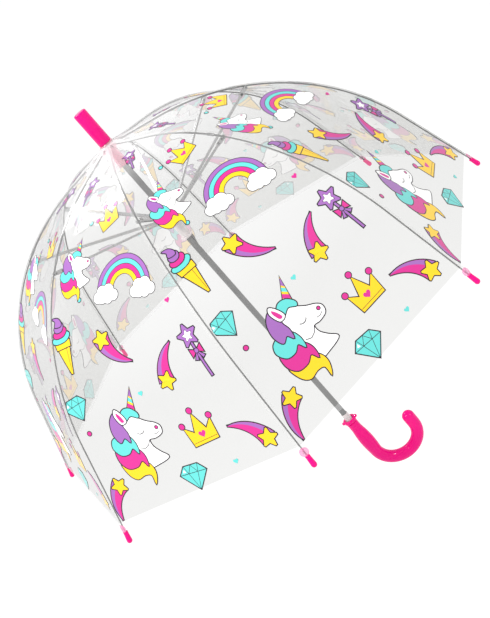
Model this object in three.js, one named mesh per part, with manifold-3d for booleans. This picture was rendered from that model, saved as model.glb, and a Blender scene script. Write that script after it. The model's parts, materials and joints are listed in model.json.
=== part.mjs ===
// A child's dome umbrella, open: clear film canopy on eight hinged steel ribs, J-shaped handle.
// Millimetres, +Z up. The origin is on the shaft's axis at the middle of the grip.
// Rib 1 and the hook of the handle point to +X; the other ribs follow counter-clockwise.
import * as THREE from 'three';
import { mergeVertices } from 'three/addons/utils/BufferGeometryUtils.js';
import Module from 'manifold-3d';

const wasm = await Module();
wasm.setup();

// Driving dimensions
const RIB_COUNT = 8;
const CROWN_Z = 540; // height of the rib hinges
const HINGE_RADIUS = 10; // circle of the rib hinges
const RIB_LENGTH = 480;
const RIB_SHOULDER = 60; // straight stretch next to the crown
const RIB_ARC = 310; // bent stretch that follows it
const RIB_ARC_TURN = THREE.MathUtils.degToRad(60);
const RIB_FIRST_SLOPE = THREE.MathUtils.degToRad(9.5);
const ROD_RADIUS = 1.3;
const ROD_SIDES = 6;
const JOINT_STATION = 170; // distance along the rib to its stretcher joint
const JOINT_INSET = 1.6; // the joint's pin lies this far inside the rib
const RUNNER_PIVOT_RADIUS = 13;
const RUNNER_DROP = 112; // from the rib hinges down to the runner's pivots
const EYE_RADIUS = 1.7;
const EYE_HOLE = 0.9;
const EAR_RADIUS = 2.2;
const EAR_HOLE = 1.0;
const PIN_RADIUS = 0.6;
const PIN_HALF_LENGTH = 3.1;
const WIRE_RADIUS = 0.5;
const FILM_OFFSET = 1.9; // rib centre line to the film's inner face
const FILM_THICKNESS = 0.5;
const FILM_INNER_STATION = -5;
const FILM_OUTER_STATION = 471;
const FILM_LIFT = 1.2; // the film rises over the crown by this much
const FILM_LIFT_LENGTH = 20;
const SEAM_GAP = 0.25;
const TIP_STATION = 472;
const TIP_LENGTH = 22;
const SHAFT_RADIUS = 4;
const SHAFT_WALL = 0.6;
const SHAFT_BOTTOM = -14;
const SHAFT_TOP = CROWN_Z + 45;
const SHAFT_SIDES = 24;
const BORE_RADIUS = 4.4; // bore of everything that goes over the shaft
const FERRULE_RADIUS = 8.5;
const FERRULE_BOTTOM = CROWN_Z + 6.3;
const FERRULE_TOP = CROWN_Z + 53;
const RUNNER_Z = CROWN_Z - RUNNER_DROP;
const RUNNER_TRAVEL = 227.5;
const CATCH_HALF_WIDTH = 0.7;
const CATCH_NOSE_RADIUS = 6.8; // how far a catch reaches out of the shaft
const KEYWAY_RADIUS = 7.2; // channel in the runner that clears the catches
const COLLAR_TOP = 40;
const COLLAR_BOTTOM = 34;
const NECK_RADIUS = 8;
const GRIP_BOTTOM = -27;
const CROOK_RADIUS = 33; // of the handle's centre line
const CROOK_TUBE_RADIUS = 9;
const CROOK_END_LENGTH = 13;

const PINK = { color: 0xf01a8c, roughness: 0.3, metalness: 0 };
const CLEAR_PINK = { color: 0xf7b9cf, roughness: 0.25, metalness: 0 };
const CLEAR_FILM = { color: 0xe9eef0, roughness: 0.15, metalness: 0 };
const STEEL = { color: 0x8d9093, roughness: 0.35, metalness: 1 };

// Solids: closed meshes that can be joined and cut

function solid(geometry) {
  const bare = new THREE.BufferGeometry();
  bare.setAttribute('position', geometry.getAttribute('position').clone());
  if (geometry.index) bare.setIndex(geometry.index.clone());
  const merged = mergeVertices(bare, 1e-4);
  const positions = merged.getAttribute('position').array;
  const corner = (i) => new THREE.Vector3().fromArray(positions, 3 * i);
  const faces = [];
  let volume = 0;
  for (let i = 0; i < merged.index.count; i += 3) {
    const [a, b, c] = merged.index.array.slice(i, i + 3);
    if (a === b || b === c || c === a) continue;
    faces.push([a, b, c]);
    volume += corner(a).dot(corner(b).cross(corner(c)));
  }
  const outward = volume < 0 ? faces.map(([a, b, c]) => [a, c, b]) : faces;
  const mesh = new wasm.Mesh({
    numProp: 3,
    vertProperties: new Float32Array(positions),
    triVerts: new Uint32Array(outward.flat()),
  });
  return new wasm.Manifold(mesh);
}

function join(...geometries) {
  return geometries.map(solid).reduce((whole, next) => whole.add(next));
}

function cut(body, ...tools) {
  return tools.map(solid).reduce((rest, tool) => rest.subtract(tool), body);
}

function geometryOf(body) {
  const mesh = body.getMesh();
  const geometry = new THREE.BufferGeometry();
  geometry.setAttribute('position', new THREE.BufferAttribute(mesh.vertProperties, 3));
  geometry.setIndex(new THREE.BufferAttribute(mesh.triVerts, 1));
  geometry.computeVertexNormals();
  return geometry;
}

// Basic shapes in the umbrella's frame

// Turned about the Z axis from [radius, height] points.
function turned(profile, sides) {
  const points = profile.map(([radius, height]) => new THREE.Vector2(radius, height));
  return new THREE.LatheGeometry(points, sides).rotateX(Math.PI / 2);
}

// A ring or tube: a closed profile turned about the Z axis.
function turnedRing(profile, sides) {
  return turned([...profile, profile[0]], sides);
}

function block(low, high) {
  const size = high.map((value, i) => value - low[i]);
  const middle = high.map((value, i) => (value + low[i]) / 2);
  return new THREE.BoxGeometry(...size).translate(...middle);
}

// A flat bar in the rib's plane, from one [x, z] point to another, between two y values.
function bar(from, to, height, yLow, yHigh) {
  const run = new THREE.Vector2(to[0] - from[0], to[1] - from[1]);
  return new THREE.BoxGeometry(run.length(), yHigh - yLow, height)
    .rotateY(-run.angle())
    .translate((from[0] + to[0]) / 2, (yLow + yHigh) / 2, (from[1] + to[1]) / 2);
}

// A round disc or pin across the rib's plane at [x, z], between two y values.
function disc([x, z], radius, yLow, yHigh, sides = 8) {
  return new THREE.CylinderGeometry(radius, radius, yHigh - yLow, sides)
    .translate(x, (yLow + yHigh) / 2, z);
}

function polygon(radius, sides) {
  const corners = Array.from({ length: sides }, (_, i) => {
    const angle = (2 * Math.PI * i) / sides;
    return new THREE.Vector2(radius * Math.cos(angle), radius * Math.sin(angle));
  });
  return new THREE.Shape(corners);
}

function swept(curve, radius, sides, steps) {
  return new THREE.ExtrudeGeometry(polygon(radius, sides), { steps, extrudePath: curve });
}

// A closed ring of round wire about the Z axis.
function wireRing(radius, height) {
  return new THREE.TorusGeometry(radius, WIRE_RADIUS, 6, 24).translate(0, 0, height);
}

// The rib's centre line in the XZ plane: straight shoulder, circular arc, straight end

function ribStation(station) {
  const radius = RIB_ARC / RIB_ARC_TURN;
  const onArc = THREE.MathUtils.clamp(station - RIB_SHOULDER, 0, RIB_ARC);
  const onShoulder = Math.min(station, RIB_SHOULDER);
  const onEnd = Math.max(station - RIB_SHOULDER - RIB_ARC, 0);
  const slope = RIB_FIRST_SLOPE + onArc / radius;
  const x = HINGE_RADIUS + onShoulder * Math.cos(RIB_FIRST_SLOPE)
    + radius * (Math.sin(slope) - Math.sin(RIB_FIRST_SLOPE)) + onEnd * Math.cos(slope);
  const z = CROWN_Z - onShoulder * Math.sin(RIB_FIRST_SLOPE)
    - radius * (Math.cos(RIB_FIRST_SLOPE) - Math.cos(slope)) - onEnd * Math.sin(slope);
  return { x, z, slope };
}

// A point beside the rib: positive offsets are towards the canopy.
function besideRib(station, offset) {
  const { x, z, slope } = ribStation(station);
  return [x + offset * Math.sin(slope), z + offset * Math.cos(slope)];
}

class RibLine extends THREE.Curve {
  constructor(from, to) {
    super();
    this.from = from;
    this.to = to;
  }

  getPoint(t, target = new THREE.Vector3()) {
    const [x, z] = besideRib(THREE.MathUtils.lerp(this.from, this.to, t), 0);
    return target.set(x, 0, z);
  }
}

const RIB_HINGE = [HINGE_RADIUS, CROWN_Z];
const JOINT = besideRib(JOINT_STATION, -JOINT_INSET);
const RUNNER_PIVOT = [RUNNER_PIVOT_RADIUS, RUNNER_Z];

// Pieces of one rib, made at rib 1 in the XZ plane

const TAB_HALF = 0.8; // half thickness of an eye tab
const TONGUE_HALF = 0.6;
const FORK_INNER = 0.95;
const FORK_OUTER = 1.75;
const STRETCHER_EAR_INNER = 2.1;
const STRETCHER_EAR_OUTER = 2.7;
const ROD_START = 6;
const JOINT_CLEARANCE = 7; // rods stop this far from the joint

function ribUpper() {
  const rodEnd = JOINT_STATION - JOINT_CLEARANCE;
  const forkRoot = besideRib(rodEnd - 3, -JOINT_INSET / 2);
  const ears = [-1, 1].flatMap((side) => {
    const yLow = Math.min(side * FORK_INNER, side * FORK_OUTER);
    const yHigh = Math.max(side * FORK_INNER, side * FORK_OUTER);
    return [disc(JOINT, EAR_RADIUS, yLow, yHigh), bar(forkRoot, JOINT, 2.4, yLow, yHigh)];
  });
  const body = join(
    disc(RIB_HINGE, EYE_RADIUS, -TAB_HALF, TAB_HALF),
    bar(RIB_HINGE, besideRib(ROD_START + 2, 0), 2.2, -TAB_HALF, TAB_HALF),
    swept(new RibLine(ROD_START, rodEnd), ROD_RADIUS, ROD_SIDES, 7),
    disc(JOINT, PIN_RADIUS, -PIN_HALF_LENGTH, PIN_HALF_LENGTH, 6),
    ...ears,
  );
  return geometryOf(cut(body, disc(RIB_HINGE, EYE_HOLE, -2, 2)));
}

function ribLower() {
  const rodStart = JOINT_STATION + JOINT_CLEARANCE;
  const body = join(
    disc(JOINT, EAR_RADIUS, -TONGUE_HALF, TONGUE_HALF),
    bar(JOINT, besideRib(rodStart + 3, -JOINT_INSET / 2), 2.4, -TONGUE_HALF, TONGUE_HALF),
    swept(new RibLine(rodStart, RIB_LENGTH - 1), ROD_RADIUS, ROD_SIDES, 12),
  );
  return geometryOf(cut(body, disc(JOINT, EAR_HOLE, -2, 2)));
}

function stretcher() {
  const along = (distance) => {
    const run = new THREE.Vector2(RUNNER_PIVOT[0] - JOINT[0], RUNNER_PIVOT[1] - JOINT[1]);
    const share = distance / run.length();
    return [JOINT[0] + run.x * share, JOINT[1] + run.y * share];
  };
  const length = Math.hypot(RUNNER_PIVOT[0] - JOINT[0], RUNNER_PIVOT[1] - JOINT[1]);
  const ears = [-1, 1].flatMap((side) => {
    const yLow = Math.min(side * STRETCHER_EAR_INNER, side * STRETCHER_EAR_OUTER);
    const yHigh = Math.max(side * STRETCHER_EAR_INNER, side * STRETCHER_EAR_OUTER);
    return [disc(JOINT, EAR_RADIUS, yLow, yHigh), bar(JOINT, along(12), 2.4, yLow, yHigh)];
  });
  const body = join(
    ...ears,
    bar(along(9), along(12), 2.4, -STRETCHER_EAR_OUTER, STRETCHER_EAR_OUTER),
    bar(along(11), along(length - 5), 2.2, -1.3, 1.3),
    bar(along(length - 7), RUNNER_PIVOT, 2.2, -TAB_HALF, TAB_HALF),
    disc(RUNNER_PIVOT, EYE_RADIUS, -TAB_HALF, TAB_HALF),
  );
  const holes = [disc(JOINT, EAR_HOLE, -4, 4), disc(RUNNER_PIVOT, EYE_HOLE, -2, 2)];
  return geometryOf(cut(body, ...holes));
}

function ribTip() {
  const mouth = 1.7;
  const boreDepth = RIB_LENGTH - TIP_STATION;
  const round = 2.4;
  const dome = [0, 30, 60].map((degrees) => {
    const angle = THREE.MathUtils.degToRad(degrees);
    return [round * Math.cos(angle), TIP_LENGTH - round + round * Math.sin(angle)];
  });
  const profile = [
    [0, boreDepth], [mouth, boreDepth], [mouth, 0], [3, 0], [3, 1.4], [round, 2.4],
    ...dome, [0, TIP_LENGTH],
  ];
  const { x, z, slope } = ribStation(TIP_STATION);
  return turned(profile, 8).rotateY(Math.PI / 2 + slope).translate(x, 0, z);
}

// One gore of film between rib 1 and rib 2, straight across from rib to rib
function gore(from, to, steps) {
  const sheet = new THREE.BoxGeometry(1, 1, 1, 1, steps, 1);
  const position = sheet.getAttribute('position');
  const pitch = (2 * Math.PI) / RIB_COUNT;
  for (let i = 0; i < position.count; i += 1) {
    const station = THREE.MathUtils.lerp(from, to, 0.5 - position.getY(i));
    const rise = Math.max(1 - station / FILM_LIFT_LENGTH, 0);
    const offset = FILM_OFFSET + FILM_LIFT * rise ** 2 + FILM_THICKNESS * (position.getZ(i) + 0.5);
    const [radius, z] = besideRib(station, offset);
    const start = new THREE.Vector2(radius, 0);
    const end = new THREE.Vector2(radius, 0).rotateAround(new THREE.Vector2(), pitch);
    const inset = SEAM_GAP / Math.cos(pitch / 2) / start.distanceTo(end);
    const across = THREE.MathUtils.lerp(inset, 1 - inset, position.getX(i) + 0.5);
    const point = start.lerp(end, across);
    position.setXYZ(i, point.x, point.y, z);
  }
  return geometryOf(solid(sheet));
}

// Pieces on the shaft's axis

function catchNose(top, bottom) {
  const outline = new THREE.Shape([
    new THREE.Vector2(2.2, top), new THREE.Vector2(CATCH_NOSE_RADIUS, top),
    new THREE.Vector2(CATCH_NOSE_RADIUS, top - 3), new THREE.Vector2(SHAFT_RADIUS, bottom),
    new THREE.Vector2(2.2, bottom),
  ]);
  return new THREE.ExtrudeGeometry(outline, { depth: 2 * CATCH_HALF_WIDTH, bevelEnabled: false })
    .rotateX(Math.PI / 2)
    .translate(0, CATCH_HALF_WIDTH, 0);
}

const TOP_CATCH = { top: RUNNER_Z - 37, bottom: RUNNER_Z - 52 };
const BOTTOM_CATCH = {
  top: RUNNER_Z - RUNNER_TRAVEL - 14,
  bottom: RUNNER_Z - RUNNER_TRAVEL - 29,
};

function springCatch({ top, bottom }) {
  const leaf = block([1.5, -CATCH_HALF_WIDTH, bottom - 12], [2.4, CATCH_HALF_WIDTH, top + 4]);
  return geometryOf(join(leaf, catchNose(top, bottom)));
}

function shaftTube() {
  const inner = SHAFT_RADIUS - SHAFT_WALL;
  const tube = solid(turnedRing([
    [inner, SHAFT_BOTTOM], [SHAFT_RADIUS, SHAFT_BOTTOM],
    [SHAFT_RADIUS, SHAFT_TOP], [inner, SHAFT_TOP],
  ], SHAFT_SIDES));
  const slots = [TOP_CATCH, BOTTOM_CATCH].map(({ top, bottom }) => {
    const halfWidth = CATCH_HALF_WIDTH + 0.35;
    return block([2, -halfWidth, bottom - 0.5], [6, halfWidth, top + 0.5]);
  });
  return geometryOf(cut(tube, ...slots));
}

function ferrule() {
  const boreTop = SHAFT_TOP + 0.5;
  return turned([
    [0, boreTop], [BORE_RADIUS, boreTop], [BORE_RADIUS, FERRULE_BOTTOM],
    [FERRULE_RADIUS - 0.4, FERRULE_BOTTOM], [FERRULE_RADIUS, FERRULE_BOTTOM + 0.6],
    [FERRULE_RADIUS, FERRULE_TOP - 1.6], [FERRULE_RADIUS - 0.5, FERRULE_TOP - 0.5],
    [FERRULE_RADIUS - 1.6, FERRULE_TOP], [0, FERRULE_TOP],
  ], 32);
}

function crownWasher() {
  return turnedRing([
    [BORE_RADIUS, CROWN_Z + 5.4], [9.2, CROWN_Z + 4.3], [9.4, CROWN_Z + 4.9],
    [8.8, CROWN_Z + 6], [BORE_RADIUS, CROWN_Z + 6],
  ], 24);
}

// Radial slots, one at each rib, cut through the rim of a notched ring.
function ribSlots(inner, halfWidth, bottom, top) {
  return Array.from({ length: RIB_COUNT }, (_, i) => (
    block([inner, -halfWidth, bottom], [14, halfWidth, top]).rotateZ((2 * Math.PI * i) / RIB_COUNT)
  ));
}

function crownNotch() {
  const z = CROWN_Z;
  const ring = solid(turnedRing([
    [BORE_RADIUS, z - 28], [6.1, z - 28], [6.6, z - 27.5], [6.6, z - 5], [11.4, z - 3.2],
    [11.4, z - 0.85], [9, z - 0.85], [9, z + 0.85], [11.4, z + 0.85], [11.4, z + 1.6],
    [BORE_RADIUS, z + 1.9],
  ], 24));
  return geometryOf(cut(ring, ...ribSlots(7.6, 1.2, z - 4.9, z + 3)));
}

function runner() {
  const z = RUNNER_Z;
  const ring = solid(turnedRing([
    [BORE_RADIUS, z - 36], [8.4, z - 36], [9, z - 35.4], [9, z - 33.6], [8.4, z - 33],
    [6.5, z - 33], [6.5, z - 9], [10.8, z - 5], [10.8, z - 0.85], [9.2, z - 0.85],
    [9.2, z + 0.85], [10.8, z + 0.85], [10.8, z + 5], [BORE_RADIUS, z + 6],
  ], 24));
  const keyway = block([3, -1.2, z - 40], [KEYWAY_RADIUS, 1.2, z + 10]);
  return geometryOf(cut(ring, keyway, ...ribSlots(8.2, 1.5, z - 7.5, z + 8)));
}

// Pieces of the handle

function handleBush() {
  return turnedRing([
    [BORE_RADIUS, COLLAR_TOP - 2.6], [5.2, COLLAR_TOP - 2.6], [5.2, COLLAR_TOP + 11],
    [4.9, COLLAR_TOP + 11.4], [BORE_RADIUS, COLLAR_TOP + 11.4],
  ], SHAFT_SIDES);
}

function handleCollar() {
  const ring = turnedRing([
    [BORE_RADIUS, COLLAR_BOTTOM], [7.6, COLLAR_BOTTOM], [9.4, COLLAR_BOTTOM + 1.6],
    [9.4, COLLAR_TOP - 0.6], [8.8, COLLAR_TOP], [5.8, COLLAR_TOP], [5.6, COLLAR_TOP - 3],
    [BORE_RADIUS, COLLAR_TOP - 3],
  ], 24);
  const lugs = [-9.8, 9.8].map((x) => (
    new THREE.CylinderGeometry(2.3, 2.3, 3.6, 12).rotateX(Math.PI / 2)
      .translate(x, 0, COLLAR_TOP - 2.2)
  ));
  return geometryOf(join(ring, ...lugs));
}

// The hook's centre line: down the grip, half a circle, and up again to the rounded end.
class CrookLine extends THREE.Curve {
  getPoint(t, target = new THREE.Vector3()) {
    const lead = 5;
    const arc = Math.PI * CROOK_RADIUS;
    const along = t * (lead + arc + CROOK_END_LENGTH);
    if (along < lead) return target.set(0, 0, GRIP_BOTTOM + lead - along);
    if (along > lead + arc) {
      return target.set(2 * CROOK_RADIUS, 0, GRIP_BOTTOM + along - lead - arc);
    }
    const angle = (along - lead) / CROOK_RADIUS;
    const x = CROOK_RADIUS * (1 - Math.cos(angle));
    return target.set(x, 0, GRIP_BOTTOM - CROOK_RADIUS * Math.sin(angle));
  }
}

function handleCrook() {
  const top = COLLAR_BOTTOM - 0.4;
  const swell = Array.from({ length: 6 }, (_, i) => {
    const t = i / 5;
    const z = THREE.MathUtils.lerp(GRIP_BOTTOM, top - 14, t);
    const bulge = 1.6 * Math.sin(Math.PI * t);
    const radius = THREE.MathUtils.lerp(CROOK_TUBE_RADIUS, NECK_RADIUS, t) + bulge;
    return [radius, z];
  });
  const rings = [12, 8, 4].flatMap((drop) => [
    [NECK_RADIUS, top - drop - 1],
    [NECK_RADIUS - 0.5, top - drop - 0.5],
    [NECK_RADIUS - 0.5, top - drop + 0.5],
    [NECK_RADIUS, top - drop + 1],
  ]);
  const grip = turned([[0, GRIP_BOTTOM], ...swell, ...rings, [NECK_RADIUS - 0.4, top], [0, top]], 16);
  const hook = swept(new CrookLine(), CROOK_TUBE_RADIUS, 12, 22);
  const end = new THREE.SphereGeometry(CROOK_TUBE_RADIUS, 12, 8)
    .translate(2 * CROOK_RADIUS, 0, GRIP_BOTTOM + CROOK_END_LENGTH);
  const bore = new THREE.CylinderGeometry(BORE_RADIUS, BORE_RADIUS, 60, 16)
    .rotateX(Math.PI / 2)
    .translate(0, 0, SHAFT_BOTTOM - 1 + 30);
  return geometryOf(cut(join(grip, hook, end), bore));
}

// The umbrella

const umbrella = new THREE.Group();

function add(name, geometry, finish, azimuth = 0) {
  const mesh = new THREE.Mesh(geometry, new THREE.MeshStandardMaterial(finish));
  mesh.name = name;
  mesh.rotation.z = azimuth;
  umbrella.add(mesh);
}

add('shaft_tube', shaftTube(), STEEL);
add('ferrule', ferrule(), PINK);
add('crown_washer', crownWasher(), CLEAR_PINK);
add('crown_notch', crownNotch(), CLEAR_PINK);
add('crown_wire', wireRing(HINGE_RADIUS, CROWN_Z), STEEL);
add('runner', runner(), CLEAR_PINK);
add('runner_wire', wireRing(HINGE_RADIUS, RUNNER_Z), STEEL);
add('top_catch', springCatch(TOP_CATCH), STEEL);
add('bottom_catch', springCatch(BOTTOM_CATCH), STEEL);
add('handle_bush', handleBush(), CLEAR_PINK);
add('handle_collar', handleCollar(), PINK);
add('handle_crook', handleCrook(), PINK);

const upperRib = ribUpper();
const lowerRib = ribLower();
const strut = stretcher();
const tip = ribTip();
const upperGore = gore(FILM_INNER_STATION, JOINT_STATION - 0.2, 12);
const lowerGore = gore(JOINT_STATION + 0.2, FILM_OUTER_STATION, 16);

for (let i = 0; i < RIB_COUNT; i += 1) {
  const azimuth = (2 * Math.PI * i) / RIB_COUNT;
  add(`rib_${i + 1}_upper`, upperRib, STEEL, azimuth);
  add(`rib_${i + 1}_lower`, lowerRib, STEEL, azimuth);
  add(`rib_${i + 1}_tip`, tip, PINK, azimuth);
  add(`stretcher_${i + 1}`, strut, STEEL, azimuth);
  add(`canopy_gore_${i + 1}_upper`, upperGore, CLEAR_FILM, azimuth);
  add(`canopy_gore_${i + 1}_lower`, lowerGore, CLEAR_FILM, azimuth);
}

export default umbrella;
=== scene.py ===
"""A child's dome umbrella with a printed clear film canopy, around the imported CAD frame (Blender 4.5)."""
import json
import math

import bmesh
import bpy
from mathutils import Matrix, Vector
from mathutils.geometry import delaunay_2d_cdt

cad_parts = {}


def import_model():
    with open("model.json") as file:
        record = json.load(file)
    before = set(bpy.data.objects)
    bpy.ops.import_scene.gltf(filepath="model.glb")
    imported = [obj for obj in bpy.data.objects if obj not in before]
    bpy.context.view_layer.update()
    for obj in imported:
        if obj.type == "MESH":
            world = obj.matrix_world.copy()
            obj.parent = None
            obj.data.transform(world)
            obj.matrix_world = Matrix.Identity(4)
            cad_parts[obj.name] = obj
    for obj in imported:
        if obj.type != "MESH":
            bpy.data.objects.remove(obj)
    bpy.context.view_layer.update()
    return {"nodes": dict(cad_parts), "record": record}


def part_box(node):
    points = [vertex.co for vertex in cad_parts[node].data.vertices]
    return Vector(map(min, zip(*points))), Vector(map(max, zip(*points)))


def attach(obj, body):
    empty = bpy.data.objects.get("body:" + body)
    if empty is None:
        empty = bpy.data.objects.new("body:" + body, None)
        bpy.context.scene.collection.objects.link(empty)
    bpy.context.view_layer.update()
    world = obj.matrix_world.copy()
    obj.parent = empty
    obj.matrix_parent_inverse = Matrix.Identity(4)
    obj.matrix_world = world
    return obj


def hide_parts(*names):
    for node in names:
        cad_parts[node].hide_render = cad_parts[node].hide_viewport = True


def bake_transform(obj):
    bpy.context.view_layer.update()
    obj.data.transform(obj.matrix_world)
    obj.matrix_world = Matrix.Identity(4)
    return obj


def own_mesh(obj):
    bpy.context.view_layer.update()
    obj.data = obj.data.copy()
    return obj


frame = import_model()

MM = 0.001

# The frame's own sizes: rib hinges, stretcher joint and the shape of a rib, as the CAD has them
JOINTS = {j["name"]: j for j in frame["record"]["behaviour"]["joints"]}
RIB_COUNT = sum(name.startswith("rib_") and name.endswith("_fold") for name in JOINTS)
PITCH = 2 * math.pi / RIB_COUNT
HINGE_RADIUS, _, CROWN_Z = JOINTS["rib_1_fold"]["pos_m"]
JOINT_X, _, JOINT_Z = JOINTS["rib_1_bend"]["pos_m"]
RIB_LENGTH = 480 * MM
RIB_SHOULDER = 60 * MM
RIB_ARC = 310 * MM
RIB_ARC_TURN = math.radians(60)
RIB_FIRST_SLOPE = math.radians(9.5)
JOINT_STATION = 170 * MM
STRETCHER_EYE = 1.7 * MM  # radius of the tab that sits in the runner
FILM_OFFSET = 2.15 * MM
FILM_START = 2 * MM
FILM_END = 474 * MM
HEM_WIDTH = 9 * MM
SEAM_HALF = 4 * MM
FILM_SAG = 3 * MM
PUCKER = 0.9 * MM  # the film gathers in small folds round the crown, which die out downwards
PUCKER_REACH = 75 * MM
FILM_LIFT = 1.2 * MM
FILM_LIFT_LENGTH = 20 * MM
PRINT_OUTSIDE = 0.30 * MM  # the coloured coat, above the film
PRINT_INSIDE = -0.12 * MM  # its show-through below the film, in paler inks that paint the light coming through the ink
PRINT_CUT = 12  # the prints are cut this often, in millimetres, to follow the film's curve
UPPER_ROD_RADIUS = 1.1 * MM
LOWER_ROD_RADIUS = 0.85 * MM
ROD_START = 7 * MM
TIP_START = 479 * MM
TIP_RADIUS = 3.25
POCKET_STATION = 475 * MM
SHAFT_BORE = 4.4  # in millimetres, round the shaft in the ferrule, crown socket and collar
HANDLE_RADIUS = 9
HANDLE_NECK_RADIUS = 8
HANDLE_NECK_LENGTH = 14
HOOK_END_LENGTH = 13

# Linear colours
HOT_PINK = (0.82, 0.002, 0.205)
INK = {
    "purple": (0.32, 0.118, 0.42),
    "turquoise": (0.11, 0.61, 0.575),
    "magenta": (0.62, 0.014, 0.25),
    "yellow": (0.93, 0.58, 0.003),
    "white": (0.92, 0.92, 0.91),
    "line": (0.012, 0.006, 0.014),
}


# ---- The rib's curve and the film's surface ----

def rib_station(s):
    """Radius, height and downward slope of the rib's centre line, s along it from the crown."""
    radius = RIB_ARC / RIB_ARC_TURN
    on_arc = min(max(s - RIB_SHOULDER, 0), RIB_ARC)
    on_shoulder = min(s, RIB_SHOULDER)
    on_end = max(s - RIB_SHOULDER - RIB_ARC, 0)
    slope = RIB_FIRST_SLOPE + on_arc / radius
    r = (HINGE_RADIUS + on_shoulder * math.cos(RIB_FIRST_SLOPE) + on_end * math.cos(slope)
         + radius * (math.sin(slope) - math.sin(RIB_FIRST_SLOPE)))
    z = (CROWN_Z - on_shoulder * math.sin(RIB_FIRST_SLOPE) - on_end * math.sin(slope)
         - radius * (math.cos(RIB_FIRST_SLOPE) - math.cos(slope)))
    return r, z, slope


def beside_rib(s, offset):
    r, z, slope = rib_station(s)
    return r + offset * math.sin(slope), z + offset * math.cos(slope)


def film_edge(s, above=0.0):
    """Radius and height of the film where it passes over a rib."""
    rise = max(1 - s / FILM_LIFT_LENGTH, 0)
    return beside_rib(s, FILM_OFFSET + FILM_LIFT * rise ** 2 + above)


def half_width(s):
    return film_edge(s)[0] * math.sin(PITCH / 2)


def film_point(gore, s, x, above=0.0):
    """A point of gore 1 to 8: s down from the crown, x across from its middle, towards the next rib."""
    r, z = film_edge(s)
    slope = rib_station(s)[2]
    half = r * math.sin(PITCH / 2)
    across = max(1 - (x / half) ** 2, 0)
    sag = FILM_SAG * across * math.sin(math.pi * min(s / RIB_LENGTH, 1)) - above
    sag += PUCKER * math.exp(-s / PUCKER_REACH) * across * math.sin(9 * x / half + gore)
    middle = r * math.cos(PITCH / 2) - sag * math.sin(slope)
    angle = PITCH * (gore - 0.5)
    return Vector((
        middle * math.cos(angle) - x * math.sin(angle),
        middle * math.sin(angle) + x * math.cos(angle),
        z - sag * math.cos(slope),
    ))


# ---- Making objects ----

def piece(name, points, faces, materials, face_materials=None):
    mesh = bpy.data.meshes.new(name)
    mesh.from_pydata([tuple(p) for p in points], [], faces)
    for material in materials:
        mesh.materials.append(material)
    if face_materials:
        mesh.polygons.foreach_set("material_index", face_materials)
    mesh.polygons.foreach_set("use_smooth", [True] * len(mesh.polygons))
    mesh.update()
    obj = bpy.data.objects.new(name, mesh)
    bpy.context.collection.objects.link(obj)
    return obj


def grid_faces(rows, columns, flip=False):
    faces = []
    for i in range(rows - 1):
        for j in range(columns - 1):
            a = i * columns + j
            face = (a, a + 1, a + columns + 1, a + columns)
            faces.append(face[::-1] if flip else face)
    return faces


def tube(name, path, radii, sides, material, side_axis=Vector((0, 1, 0))):
    """A closed tube along a path that lies in a plane, square to side_axis."""
    points = []
    count = len(path)
    for i, (centre, radius) in enumerate(zip(path, radii)):
        ahead = path[min(i + 1, count - 1)] - path[max(i - 1, 0)]
        other = ahead.normalized().cross(side_axis)
        for k in range(sides):
            angle = 2 * math.pi * k / sides
            points.append(centre + radius * (math.cos(angle) * side_axis + math.sin(angle) * other))
    faces = []
    for i in range(count - 1):
        for k in range(sides):
            a = i * sides + k
            b = i * sides + (k + 1) % sides
            faces.append((a, b, b + sides, a + sides))
    faces.append(tuple(range(sides))[::-1])
    faces.append(tuple(range((count - 1) * sides, count * sides)))
    obj = piece(name, points, faces, [material])
    outward(obj)
    return obj


def turned(name, profile, sides, material):
    """A closed profile of (radius, height) points turned about the Z axis."""
    points, faces = [], []
    count = len(profile)
    for k in range(sides):
        angle = 2 * math.pi * k / sides
        points += [(r * math.cos(angle), r * math.sin(angle), z) for r, z in profile]
    for k in range(sides):
        start, following = k * count, ((k + 1) % sides) * count
        for i in range(count):
            j = (i + 1) % count
            faces.append((start + i, following + i, following + j, start + j))
    obj = piece(name, points, faces, [material])
    clean(obj)
    return obj


def clean(obj):
    work = bmesh.new()
    work.from_mesh(obj.data)
    bmesh.ops.remove_doubles(work, verts=work.verts, dist=1e-7)
    bmesh.ops.dissolve_degenerate(work, edges=work.edges, dist=1e-7)
    bmesh.ops.recalc_face_normals(work, faces=work.faces)
    work.to_mesh(obj.data)
    work.free()
    obj.data.polygons.foreach_set("use_smooth", [True] * len(obj.data.polygons))


def outward(obj):
    work = bmesh.new()
    work.from_mesh(obj.data)
    bmesh.ops.recalc_face_normals(work, faces=work.faces)
    work.to_mesh(obj.data)
    work.free()


def sharpen(obj, degrees=35):
    obj.data.set_sharp_from_angle(angle=math.radians(degrees))


# ---- Materials ----

def new_material(name):
    material = bpy.data.materials.new(name)
    material.use_nodes = True
    tree = material.node_tree
    shader = tree.nodes["Principled BSDF"]
    return material, tree, shader


def noise(tree, scale, detail=4.0, stretch=(1, 1, 1)):
    place = tree.nodes.new("ShaderNodeTexCoord")
    mapping = tree.nodes.new("ShaderNodeMapping")
    mapping.inputs["Scale"].default_value = stretch
    texture = tree.nodes.new("ShaderNodeTexNoise")
    texture.inputs["Scale"].default_value = scale
    texture.inputs["Detail"].default_value = detail
    tree.links.new(place.outputs["Object"], mapping.inputs["Vector"])
    tree.links.new(mapping.outputs["Vector"], texture.inputs["Vector"])
    return texture


def spread(tree, source, low, high):
    """Maps a 0 to 1 pattern onto the range low to high."""
    node = tree.nodes.new("ShaderNodeMapRange")
    node.inputs["From Min"].default_value = 0.3
    node.inputs["From Max"].default_value = 0.7
    node.inputs["To Min"].default_value = low
    node.inputs["To Max"].default_value = high
    tree.links.new(source, node.inputs["Value"])
    return node.outputs["Result"]


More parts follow.
